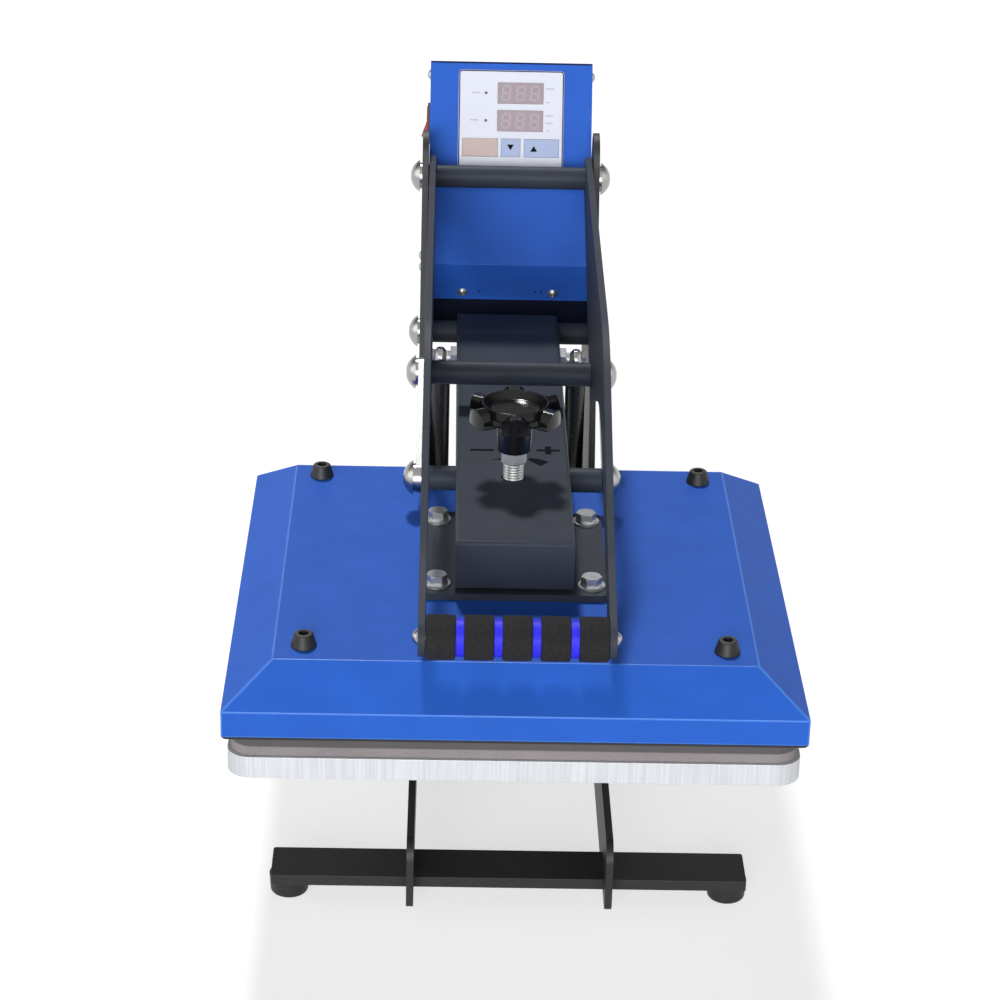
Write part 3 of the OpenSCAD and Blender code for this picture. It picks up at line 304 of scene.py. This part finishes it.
def make_materials():
    """One material for each slot of the record, and the printed colours."""
    made = {}

    def coat(name, *finish, **values):
        made[name] = coating(name, *finish, **values)[0]

    def speckle(name, *finish, **values):
        made[name] = speckled(name, *finish, **values)

    coat("press_blue", (0.027, 0.124, 0.585), 0.5, tone=0.05, grain=0.9, level=0.1)
    # Lighter blue of the bevelled edges: a painted highlight along the bends
    coat("blue_edge_highlight", (0.05, 0.2, 0.72), 0.34, blotch=6.0, grain=0.7, relief=0.006)
    # Dark navy for the control box's upright skirt: painted shade, not the paint's own colour
    coat("skirt_painted_shade", (0.005, 0.008, 0.022), 0.55, grain=0.9, level=0.1)
    coat("frame_grey", (0.037, 0.044, 0.06), 0.5, tone=0.1, grain=0.7, relief=0.03, level=0.14)
    speckle("base_black", (0.011, 0.011, 0.012), (0.06, 0.06, 0.06), 0.9, 0.1,
            roughness=0.5, grain=0.8, relief=0.04, level=0.4)
    coat("milled_aluminium", (0.6, 0.62, 0.65), 0.5, tone=0.1, blotch=1.6, grain=0.8,
         relief=0.03, metallic=0.5, stretch=(1, 1, 0.03))
    coat("coated_aluminium", (0.074, 0.068, 0.073), 0.55, grain=0.4, relief=0.01)
    speckle("grey_silicone", (0.28, 0.252, 0.262), (0.19, 0.17, 0.175), 0.5, 0.3,
            roughness=0.75, grain=0.5, relief=0.03, level=0.3)
    coat("black_rubber", (0.012, 0.012, 0.012), 0.5, grain=0.5, level=0.4)
    speckle("black_foam", (0.0235, 0.0225, 0.0245), (0.004, 0.004, 0.004), 0.7, 0.45,
            roughness=0.9, relief=0.12, level=0.2)
    coat("zinc_steel", (0.44, 0.45, 0.46), 0.36, tone=0.12, blotch=5.0, grain=0.5,
         relief=0.01, metallic=0.85, gloss=0.08)
    coat("polished_chrome", (0.37, 0.365, 0.365), 0.24, tone=0.05, blotch=6.0,
         relief=0.003, metallic=1.0, gloss=0.04)
    coat("black_gloss", (0.005, 0.005, 0.006), 0.16, blotch=12.0, grain=1.5, relief=0.002, level=0.3)
    coat("black_enamel", (0.012, 0.012, 0.013), 0.3, grain=1.2, relief=0.002)
    coat("black_plastic", (0.013, 0.013, 0.014), 0.45, grain=0.4, relief=0.015)
    coat("ring_blue", (0.036, 0.034, 0.9), 0.5, tone=0.2, blotch=2.5, relief=0.01, level=0.2)
    coat("panel_white", (0.72, 0.74, 0.845), 0.45, tone=0.015, grain=0.25, relief=0.006)
    coat("display_tint", (0.335, 0.272, 0.315), 0.3, tone=0.04, blotch=6.0, grain=0.4, relief=0.004)
    coat("led_red", (0.09, 0.075, 0.08), 0.3, blotch=1.0, grain=0.3, relief=0.004)
    coat("key_peach", (0.54, 0.42, 0.405), 0.5, tone=0.03, blotch=5.0, grain=0.3, relief=0.008)
    coat("key_blue", (0.375, 0.455, 0.68), 0.5, tone=0.02, blotch=5.0, grain=0.3, relief=0.008)
    coat("rocker_red", (0.42, 0.025, 0.018), 0.2, blotch=4.0, grain=0.8, relief=0.004)
    coat("board_green", (0.015, 0.12, 0.045), 0.4, blotch=3.0, grain=0.5)
    coat("mineral_wool", (0.7, 0.62, 0.42), 0.95, blotch=3.0, grain=0.8, relief=0.3)
    # Black for print, and painted shade in the box's screw holes
    coat("black_print_and_shade", (0.006, 0.007, 0.009), 0.8, blotch=2.0, grain=0.3, relief=0.004, level=0.05)
    # Navy for the panel's printed border, and painted shade along the top of the control box
    coat("navy_print_and_shade", (0.008, 0.016, 0.06), 0.7, blotch=2.0, grain=0.3, relief=0.004, level=0.1)
    coat("print_grey", (0.5, 0.5, 0.54), 0.6, blotch=2.0, grain=0.3, relief=0.004, level=0.2)
    coat("print_segment", (0.42, 0.34, 0.38), 0.35, blotch=2.0, grain=0.3, relief=0.004)
    return made


def dress_nodes(materials):
    """Gives each node of the frame the material of its slot."""
    for row in frame["record"]["subparts"]:
        mesh = nodes[row["node"]].data
        mesh.materials.clear()
        mesh.materials.append(materials[row["material_slot"]])


# Radii of the rounded edges of sheet, plate and rod, in millimetres
EDGE_RADII = {
    "platen_cover": 1.2, "control_box": 0.8, "box_back_cover": 0.4, "lower_platen": 0.6, "heat_platen": 0.5,
    "mounting_plate": 0.6, "base_side_left": 0.5, "base_side_right": 0.5, "front_crossbar": 0.6,
    "rear_crossbar": 0.6, "bed_bars": 0.6, "lever_plate_left": 0.5, "lever_plate_right": 0.5,
    "toggle_links": 0.5, "control_panel": 0.25, "set_key": 0.25, "down_key": 0.25, "up_key": 0.25,
    "press_arm": 0.4, "handwheel": 0.6, "guide_block": 0.4, "power_relay": 0.5, "switch_housing": 0.3,
    "switch_rocker": 0.5, "lever_pivot_rod": 0.5, "arm_hinge_rod": 0.5, "lever_rod": 0.5, "toggle_rod": 0.5,
    "grip_rings": 0.4, "cord_gland": 0.4, "mounting_bolts": 0.3, "lock_nut": 0.3, "strut_cylinders": 0.5,
}
# These edges get a lighter, glossier blue: the lighter colour is a painted highlight along the bends
EDGE_HIGHLIGHT = {"platen_cover": "blue_edge_highlight", "control_box": "blue_edge_highlight"}
EDGE_ANGLE = 32.0
EDGE_SEGMENTS = 2
WELD = 0.004
# Facets closer than the angle in degrees are joined, except on the cover, where that would thin its edges
JOIN_ANGLE = 0.4
KEPT_FACETS = {"platen_cover"}
# Short edges beside a bend don't thin the radii of these nodes
FULL_WIDTH = {"press_arm"}
# Normals count as the same above this cosine
FLAT_COSINE = 0.99995


def smooth_curves(mesh):
    """Smooth shading on curved faces only, so that flat faces stay flat up to their edges."""
    for polygon in mesh.polygons:
        normals = [mesh.vertices[index].normal for index in polygon.vertices]
        polygon.use_smooth = min(polygon.normal.dot(normal) for normal in normals) < FLAT_COSINE


def round_edges(materials):
    """Small radii on the frame's sharp edges, as modifiers over the unchanged meshes."""
    for name, radius in EDGE_RADII.items():
        node = nodes[name]
        weld = node.modifiers.new("weld", "WELD")
        weld.merge_threshold = WELD * MM
        if name not in KEPT_FACETS:
            join = node.modifiers.new("flats", "DECIMATE")
            join.decimate_type = "DISSOLVE"
            join.angle_limit = math.radians(JOIN_ANGLE)
            join.delimit = {"MATERIAL"}
        bevel = node.modifiers.new("edges", "BEVEL")
        bevel.width = radius * MM
        bevel.segments = EDGE_SEGMENTS
        bevel.use_clamp_overlap = name not in FULL_WIDTH
        bevel.limit_method = "ANGLE"
        bevel.angle_limit = math.radians(EDGE_ANGLE)
        bevel.face_strength_mode = "FSTR_ALL"
        if name in EDGE_HIGHLIGHT:
            node.data.materials.append(materials[EDGE_HIGHLIGHT[name]])
            bevel.material = len(node.data.materials) - 1
        normals = node.modifiers.new("normals", "WEIGHTED_NORMAL")
        normals.mode = "FACE_AREA_WITH_ANGLE"
        normals.use_face_influence = True
        smooth_curves(node.data)


def paint_skirt_shade(material):
    """Painted shade: dark navy on the upright skirt below the sloping front of the control box, standing in for
    its shadow.
    """
    box = nodes["control_box"].data
    box.materials.append(material)
    for polygon in box.polygons:
        if polygon.normal.y < -FLAT_COSINE:
            polygon.material_index = len(box.materials) - 1


# Pieces

def add_piece(name, mesh, material, body, smooth=True):
    """Links a mesh as a piece that rides on a body."""
    piece = bpy.data.objects.new(name, mesh)
    bpy.context.scene.collection.objects.link(piece)
    mesh.materials.append(material)
    for polygon in mesh.polygons:
        polygon.use_smooth = smooth
    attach(piece, body)
    return piece


def mesh_from(name, bm):
    """Mesh of finished faces, all facing outwards."""
    bmesh.ops.recalc_face_normals(bm, faces=bm.faces)
    mesh = bpy.data.meshes.new(name)
    bm.to_mesh(mesh)
    bm.free()
    return mesh


def arc(centre, radius, start, stop, steps):
    """Points of an arc, angles in degrees."""
    angles = [math.radians(start + (stop - start) * i / steps) for i in range(steps + 1)]
    return [(centre[0] + radius * math.cos(a), centre[1] + radius * math.sin(a)) for a in angles]


def loft(bm, rings):
    """Skins closed rings of points into a tube, the last ring joined to the first."""
    loops = [[bm.verts.new(point) for point in ring] for ring in rings]
    for loop, following in zip(loops, loops[1:] + loops[:1]):
        count = len(loop)
        for i in range(count):
            j = (i + 1) % count
            bm.faces.new((loop[i], loop[j], following[j], following[i]))


# Foam sleeves: edge radius and crown in millimetres, and how finely they are drawn
FOAM_EDGE = 0.9
FOAM_CROWN = 0.2
FOAM_SIDES = 72
FOAM_STEPS = 5
FOAM_STATIONS = (0.3, 0.5, 0.7)


def make_foam(material):
    """Foam sleeves of the grip: soft shoulders and a slight crown."""
    lo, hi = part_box("foam_grip")
    core_lo, core_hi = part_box("grip_core")
    outer = (hi.z - lo.z) / 2 / MM
    inner = (core_hi.z - core_lo.z) / 2 / MM + CORE_CLEAR
    middle_y, middle_z = (lo.y + hi.y) / 2, (lo.z + hi.z) / 2
    length = (hi.x - lo.x) / MM
    width = (length - (GRIP_SEGMENTS - 1) * RING_WIDTH) / GRIP_SEGMENTS
    shoulder = outer - FOAM_CROWN - FOAM_EDGE
    angles = [2 * math.pi * k / FOAM_SIDES for k in range(FOAM_SIDES)]
    turns = [(math.cos(a), math.sin(a)) for a in angles]
    bm = bmesh.new()
    for i in range(GRIP_SEGMENTS):
        start = lo.x / MM + i * (width + RING_WIDTH)
        stop = start + width
        profile = [(stop, inner), (start, inner)]
        profile += arc((start + FOAM_EDGE, shoulder), FOAM_EDGE, 180, 90, FOAM_STEPS)
        for share in FOAM_STATIONS:
            profile.append((start + width * share, outer - FOAM_CROWN * (2 * share - 1) ** 2))
        profile += arc((stop - FOAM_EDGE, shoulder), FOAM_EDGE, 90, 0, FOAM_STEPS)
        rings = []
        for x, r in profile:
            circle = [(r * MM * cosine, r * MM * sine) for cosine, sine in turns]
            rings.append([(x * MM, middle_y + y, middle_z + z) for y, z in circle])
        loft(bm, rings)
    foam = add_piece("foam_sleeves", mesh_from("foam_sleeves", bm), material, "lever")
    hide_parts("foam_grip")


def rounded_outline(half_x, half_y, radius, steps=10):
    """Rounded rectangle round the origin, counter-clockwise."""
    points = []
    for sx, sy, start in ((1, 1, 0), (-1, 1, 90), (-1, -1, 180), (1, -1, 270)):
        points += arc((sx * (half_x - radius), sy * (half_y - radius)), radius, start, start + 90, steps)
    return points


# Edge radius of the pad, and the steps it is drawn in
PAD_EDGE = 1.2
PAD_STEPS = 4


def make_pad(material):
    """Silicone pad with soft edges."""
    lo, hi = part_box("silicone_pad")
    half_x, half_y = (hi.x - lo.x) / 2 / MM, (hi.y - lo.y) / 2 / MM
    middle_y = (lo.y + hi.y) / 2
    low, high = lo.z / MM, hi.z / MM
    edge = arc((PAD_EDGE, low + PAD_EDGE), PAD_EDGE, 270, 180, PAD_STEPS)
    edge += arc((PAD_EDGE, high - PAD_EDGE), PAD_EDGE, 180, 90, PAD_STEPS)
    bm = bmesh.new()
    loops = []
    for inset, z in edge:
        outline = rounded_outline(half_x - inset, half_y - inset, PLATEN_CORNER - inset)
        loops.append([bm.verts.new((x * MM, middle_y + y * MM, z * MM)) for x, y in outline])
    for loop, following in zip(loops, loops[1:]):
        for i in range(len(loop)):
            j = (i + 1) % len(loop)
            bm.faces.new((loop[i], loop[j], following[j], following[i]))
    bm.faces.new(loops[0])
    bm.faces.new(loops[-1])
    sheet = mesh_from("pad_sheet", bm)
    pad = add_piece("pad_sheet", sheet, material, "base", smooth=False)
    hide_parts("silicone_pad")


# Printed marks and painted shade: thin raised films

# Height of a film over its surface, and how far it sinks in
FILM = 0.06
FILM_SINK = 0.02


def film(bm, outline, place):
    """Thin plate of an outline in millimetres; place puts its plane on the surface that carries it."""
    low = [bm.verts.new(place @ Vector((x * MM, y * MM, -FILM_SINK * MM))) for x, y in outline]
    high = [bm.verts.new(place @ Vector((x * MM, y * MM, FILM * MM))) for x, y in outline]
    bm.faces.new(low)
    bm.faces.new(high)
    for i in range(len(outline)):
        j = (i + 1) % len(outline)
        bm.faces.new((low[i], low[j], high[j], high[i]))


def film_frame(bm, outer, inner, place):
    """Thin frame between two outlines with the same number of points."""
    rings = []
    for outline, height in ((outer, -FILM_SINK), (outer, FILM), (inner, FILM), (inner, -FILM_SINK)):
        rings.append([place @ Vector((x * MM, y * MM, height * MM)) for x, y in outline])
    loft(bm, rings)


def front_place(depth):
    """Frame on the leaning front of the control box: x across, y up the front, z out of it."""
    pivot = Vector(joints["lever_swing"]["pos_m"])
    into = Vector(joints["up_key_press"]["axis"])
    across = Vector((1, 0, 0))
    up = across.cross(into)
    turn = Matrix((across, up, -into)).transposed().to_4x4()
    return Matrix.Translation(pivot + into * (BOX_BEHIND + depth) * MM) @ turn


def box_outline(x0, y0, x1, y1):
    """Rectangle between two corners."""
    return [(x0, y0), (x1, y0), (x1, y1), (x0, y1)]


def shifted(outline, x, y):
    """Outline moved by x and y."""
    return [(px + x, py + y) for px, py in outline]


# Width of the panel's border line, and its place inwards from the edge
BORDER = 0.9
BORDER_INSET = 0.3


def make_panel_border(material):
    """Thin dark line round the edge of the control panel."""
    half_x, half_y = PANEL_SIZE[0] / 2, PANEL_SIZE[1] / 2
    outlines = []
    for inset in (BORDER_INSET, BORDER_INSET + BORDER):
        outline = rounded_outline(half_x - inset, half_y - inset, PANEL_CORNER - inset)
        outlines.append(shifted(outline, 0, PANEL_TOP - half_y))
    bm = bmesh.new()
    film_frame(bm, *outlines, front_place(-PANEL_THICK))
    border = mesh_from("panel_border", bm)
    add_piece("panel_border", border, material, "base", smooth=False)


# Middle across, drop below the panel's top and width of each small stroke
STROKES = (
    (-28.5, 18.6, 6.5), (-30.0, 40.8, 6.5), (31.4, 14.6, 7.0), (29.8, 25.7, 2.6),
    (31.0, 36.6, 6.5), (31.0, 42.5, 6.0), (30.3, 48.5, 2.2),
)
STROKE_HEIGHT = 0.9
KEY_STROKE = (-19.2, 62.8, 5.4)


def stroke_outline(x, drop, width):
    """Rectangle of a small stroke on the panel."""
    half = width / 2
    y = PANEL_TOP - drop
    return box_outline(x - half, y - STROKE_HEIGHT / 2, x + half, y + STROKE_HEIGHT / 2)


def make_panel_strokes(material):
    """Small plain strokes beside the lamps and the windows, and one on the first key."""
    bm = bmesh.new()
    for stroke in STROKES:
        film(bm, stroke_outline(*stroke), front_place(-PANEL_THICK))
    strokes = mesh_from("panel_strokes", bm)
    add_piece("panel_strokes", strokes, material, "base", smooth=False)
    bm = bmesh.new()
    film(bm, stroke_outline(*KEY_STROKE), front_place(-PANEL_THICK - KEY_PROUD))
    stroke = mesh_from("set_key_stroke", bm)
    add_piece("set_key_stroke", stroke, material, "set_key", smooth=False)


# Ends of the box's sloping front behind and above the lever's pivot, and small screw holes across it, drawn as
# black discs of painted shade
SLOPE_TOP = (-7.05, -72.39)
SLOPE_FOOT = (10.69, -108.75)
HOLE_SHARE = 0.77
HOLE_XS = (-23.1, 22.6, 27.6)
HOLE_RADIUS = 0.9
HOLE_SIDES = 24


def make_box_hole_shade(material):
    """Black discs for small empty screw holes in the sloping front of the control box: painted shade standing in
    for the holes' depth.
    """
    pivot = Vector(joints["lever_swing"]["pos_m"])
    top, foot = (pivot + Vector((0, y, z)) * MM for y, z in (SLOPE_TOP, SLOPE_FOOT))
    across, up = Vector((1, 0, 0)), (top - foot).normalized()
    turn = Matrix((across, up, across.cross(up))).transposed().to_4x4()
    place = Matrix.Translation(top.lerp(foot, HOLE_SHARE)) @ turn
    last = 360 - 360 / HOLE_SIDES
    bm = bmesh.new()
    for x in HOLE_XS:
        film(bm, arc((x, 0), HOLE_RADIUS, 0, last, HOLE_SIDES - 1), place)
    add_piece("box_hole_shade", mesh_from("box_hole_shade", bm), material, "base", smooth=False)


# Top of the box above the pivot, and the upper and lower edge and the ends of the dark line along the top, inwards
# from the box; the line is painted shade where the front meets the top cover
BOX_UP = 96.0
SHADE_LINE = (0.2, 1.5)
SHADE_LINE_ENDS = 0.8


def make_box_shade_line(material):
    """Painted shade: dark navy line along the top of the control box's front, where it meets the top cover."""
    lo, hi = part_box("control_box")
    half = (hi.x - lo.x) / 2 / MM - SHADE_LINE_ENDS
    bm = bmesh.new()
    film(bm, box_outline(-half, BOX_UP - SHADE_LINE[1], half, BOX_UP - SHADE_LINE[0]), front_place(0))
    add_piece("box_shade_line", mesh_from("box_shade_line", bm), material, "base", smooth=False)


# Display digits: width and height, distance, width of a bar, gap between bars, and slant
DIGIT = (7.6, 12.6)
DIGIT_STEP = 11.6
DIGIT_BAR = 1.5
DIGIT_GAP = 0.25
DIGIT_SLANT = 0.1


def digit_bars():
    """Outlines of the seven bars of a display digit round its middle."""
    w, h, s = DIGIT[0] / 2, DIGIT[1] / 2, DIGIT_BAR / 2
    bars = []
    for y in (-h + s, 0, h - s):
        a = w - s - DIGIT_GAP
        b = a - s
        bars.append([(-a, y), (-b, y - s), (b, y - s), (a, y), (b, y + s), (-b, y + s)])
    for x in (-w + s, w - s):
        for low, high in ((-h + s + DIGIT_GAP, -DIGIT_GAP), (DIGIT_GAP, h - s - DIGIT_GAP)):
            a, b = low + s, high - s
            bars.append([(x, low), (x + s, a), (x + s, b), (x, high), (x - s, b), (x - s, a)])
    return [[(x + DIGIT_SLANT * y, y) for x, y in bar] for bar in bars]


def make_digits(material):
    """Unlit digits behind the tinted display windows."""
    bm = bmesh.new()
    place = front_place(WINDOW_SINK - PANEL_THICK)
    for drop in WINDOW_DROPS:
        for step in (-1, 0, 1):
            for bar in digit_bars():
                film(bm, shifted(bar, WINDOW_X + step * DIGIT_STEP, PANEL_TOP - drop), place)
    digits = mesh_from("display_digits", bm)
    add_piece("display_digits", digits, material, "base", smooth=False)


# Width and height of an arrow, and its place on the front and way up on each key
ARROW = (5.6, 4.6)
ARROW_PLACES = {"down": (-0.1, 26.5, -1), "up": (18.8, 25.6, 1)}


def make_key_arrows(material):
    """Arrows printed on the two keys."""
    for key, (x, y, way) in ARROW_PLACES.items():
        w, h = ARROW[0] / 2, ARROW[1] / 2
        outline = [(-w, -way * h), (w, -way * h), (0, way * h)]
        bm = bmesh.new()
        film(bm, shifted(outline, x, y), front_place(-PANEL_THICK - KEY_PROUD))
        name = f"{key}_key_arrow"
        add_piece(name, mesh_from(name, bm), material, f"{key}_key", smooth=False)


# Marks on the arm: left end, right end and place along the arm of the signs, and outlines of the wedges
MARK_LINE = 3.6
MINUS = (-30.8, -13.7, 94.0)
PLUS = (17.7, 34.6, 95.0)
PLUS_UPRIGHT = (4.6, 14.6)
THIN_WEDGE = [(-17.0, 75.2), (-7.2, 77.4), (-7.2, 80.2)]
THICK_WEDGE = [(11.5, 76.0), (20.0, 66.2), (26.1, 74.1), (18.7, 79.3), (11.5, 80.6)]


def make_arm_marks(material):
    """Less and more signs beside the pressure screw, with a swelling wedge between them."""
    lo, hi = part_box("press_arm")
    platen_lo, platen_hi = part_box("lower_platen")
    place = Matrix.Translation((0, (platen_lo.y + platen_hi.y) / 2, hi.z))
    half = MARK_LINE / 2
    bm = bmesh.new()
    for x0, x1, y in (MINUS, PLUS):
        film(bm, box_outline(x0, y - half, x1, y + half), place)
    middle, wide, tall = (PLUS[0] + PLUS[1]) / 2, PLUS_UPRIGHT[0] / 2, PLUS_UPRIGHT[1] / 2
    for y0, y1 in ((PLUS[2] - tall, PLUS[2] - half), (PLUS[2] + half, PLUS[2] + tall)):
        film(bm, box_outline(middle - wide, y0, middle + wide, y1), place)
    for wedge in (THIN_WEDGE, THICK_WEDGE):
        film(bm, wedge, place)
    add_piece("arm_marks", mesh_from("arm_marks", bm), material, "arm", smooth=False)


# Seal: outer and inner edge inwards from the lip, its corner, and how far it hangs and sinks in
SEAL_INSET = (0.6, 3.2)
SEAL_CORNER = 4.0
SEAL_DROP = 1.5
SEAL_SINK = 0.1


def make_seal(material):
    """Black seal under the lip of the upper platen's cover."""
    lo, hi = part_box("platen_cover")
    half_x, half_y = (hi.x - lo.x) / 2 / MM, (hi.y - lo.y) / 2 / MM
    middle_y = (lo.y + hi.y) / 2
    outer, inner = SEAL_INSET
    rings = []
    for inset, z in ((outer, -SEAL_DROP), (outer, SEAL_SINK), (inner, SEAL_SINK), (inner, -SEAL_DROP)):
        outline = rounded_outline(half_x - inset, half_y - inset, SEAL_CORNER - inset)
        rings.append([(x * MM, middle_y + y * MM, lo.z + z * MM) for x, y in outline])
    bm = bmesh.new()
    loft(bm, rings)
    seal = mesh_from("platen_seal", bm)
    add_piece("platen_seal", seal, material, "carriage", smooth=False)


make_camera()
make_world()
make_floor()
for lamp_values in LAMPS:
    far_light(*lamp_values)
materials = make_materials()
dress_nodes(materials)
paint_skirt_shade(materials["skirt_painted_shade"])
round_edges(materials)
make_foam(materials["black_foam"])
make_pad(materials["grey_silicone"])
make_panel_border(materials["navy_print_and_shade"])
make_panel_strokes(materials["print_grey"])
make_box_shade_line(materials["navy_print_and_shade"])
make_box_hole_shade(materials["black_print_and_shade"])
make_digits(materials["print_segment"])
make_key_arrows(materials["black_print_and_shade"])
make_arm_marks(materials["black_print_and_shade"])
make_seal(materials["black_rubber"])

bpy.context.scene.view_settings.view_transform = "Standard"
